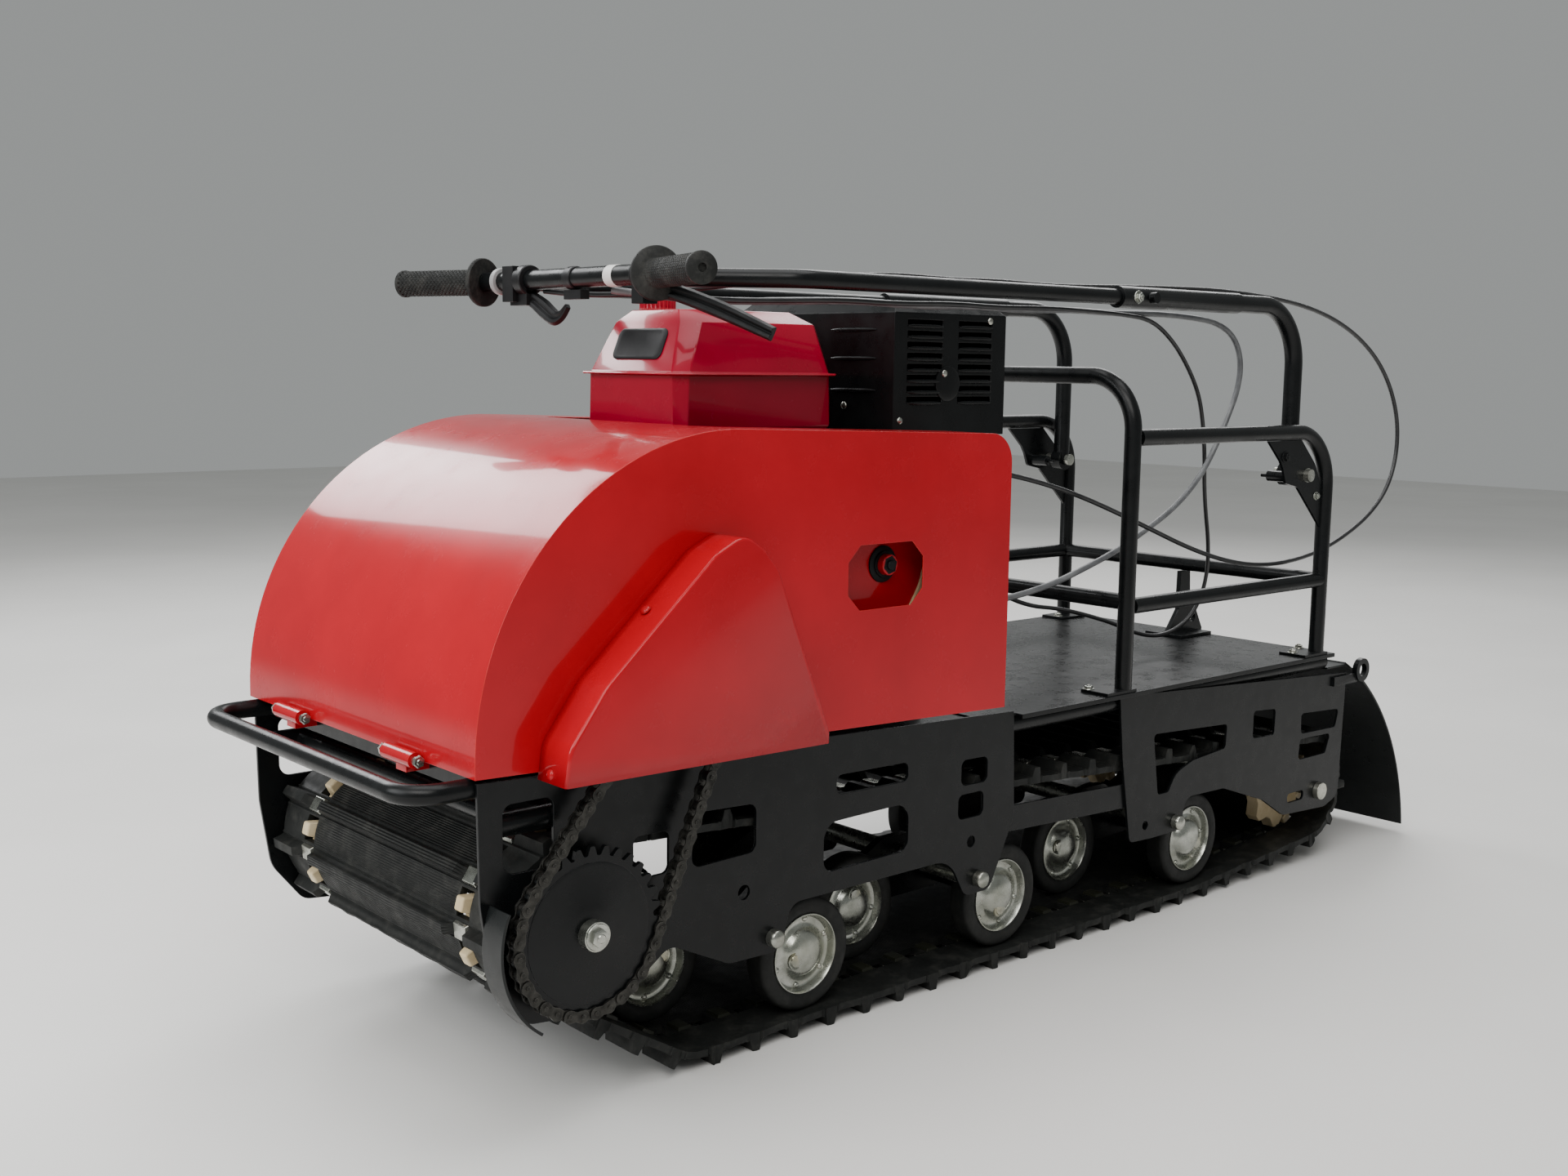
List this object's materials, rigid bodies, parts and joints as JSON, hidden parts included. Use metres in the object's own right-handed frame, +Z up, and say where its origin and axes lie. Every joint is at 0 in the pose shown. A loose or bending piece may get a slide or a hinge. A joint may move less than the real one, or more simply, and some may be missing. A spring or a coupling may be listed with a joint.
{
  "type": "tracked snow towing vehicle",
  "caption": "Walk-behind tracked snow tug with a red hood, chain drive, cargo rack over the rear deck and a towing handle folded forward.",
  "frame": {"origin": "on the ground under the middle of the whole vehicle", "axes": "+X forward, +Y to the vehicle's left, +Z up"},
  "size_m": [1.788, 0.5896, 0.858],
  "materials": {
    "red_paint": "gloss red enamel",
    "black_paint": "satin black powder coat",
    "track_rubber": "moulded rubber",
    "tyre_rubber": "solid rubber",
    "zinc": "bright zinc plate",
    "star_plastic": "cast plastic",
    "chain_steel": "oiled steel",
    "belt_rubber": "fabric covered belt",
    "engine_metal": "cast aluminium",
    "black_plastic": "moulded plastic",
    "grip_rubber": "knurled rubber",
    "sheath": "cable sheath"
  },
  "bodies": {
    "chassis": {"brake_cable": "sheath", "bumper": "black_paint", "chain_guard": "red_paint", "clutch_cable": "sheath", "cross_shafts": "zinc", "deck": "black_paint", "drive_belt": "belt_rubber", "drive_chain": "chain_steel", "drive_pulley": "black_paint", "drive_sprocket": "black_paint", "engine": "engine_metal", "engine_cradle": "black_paint", "frame": "black_paint", "front_apron": "black_paint", "fuel_tank": "red_paint", "hitch_post": "black_paint", "hood": "red_paint", "hood_hinges": "red_paint", "jackshaft": "black_paint", "lashing_eyes": "black_paint", "muffler_cover": "black_paint", "pivot_gussets": "black_paint", "rack_hoop": "black_paint", "rack_rails": "black_paint", "rear_flap": "black_plastic", "recoil_starter": "black_plastic", "road_discs": "zinc", "road_tyres": "tyre_rubber", "rocker_arms": "black_paint", "side_plate_front_left": "black_paint", "side_plate_front_right": "black_paint", "side_plate_rear_left": "black_paint", "side_plate_rear_right": "black_paint", "sprocket_skid": "black_paint", "tank_cap": "red_paint", "throttle_cable": "sheath", "track": "track_rubber", "track_stars": "star_plastic"},
    "handle": {"handle_legs": "black_paint", "pivot_bolts": "zinc"},
    "bar": {"handlebar": "black_paint", "grips": "grip_rubber", "brake_lever": "black_paint", "throttle_lever": "black_plastic", "stop_switch": "black_plastic"}
  },
  "joints": [
    {"name": "handle_fold", "type": "hinge", "parent": "chassis", "child": "handle", "pos_m": [-0.551, 0, 0.59], "axis": [0, -1, 0], "range_deg": [0, 150], "deforming": ["brake_cable", "clutch_cable", "throttle_cable"]},
    {"name": "handle_extend", "type": "slide", "parent": "handle", "child": "bar", "axis": [1, 0, 0], "range_m": [0, 0.1], "deforming": ["brake_cable", "clutch_cable", "throttle_cable"]}
  ]
}
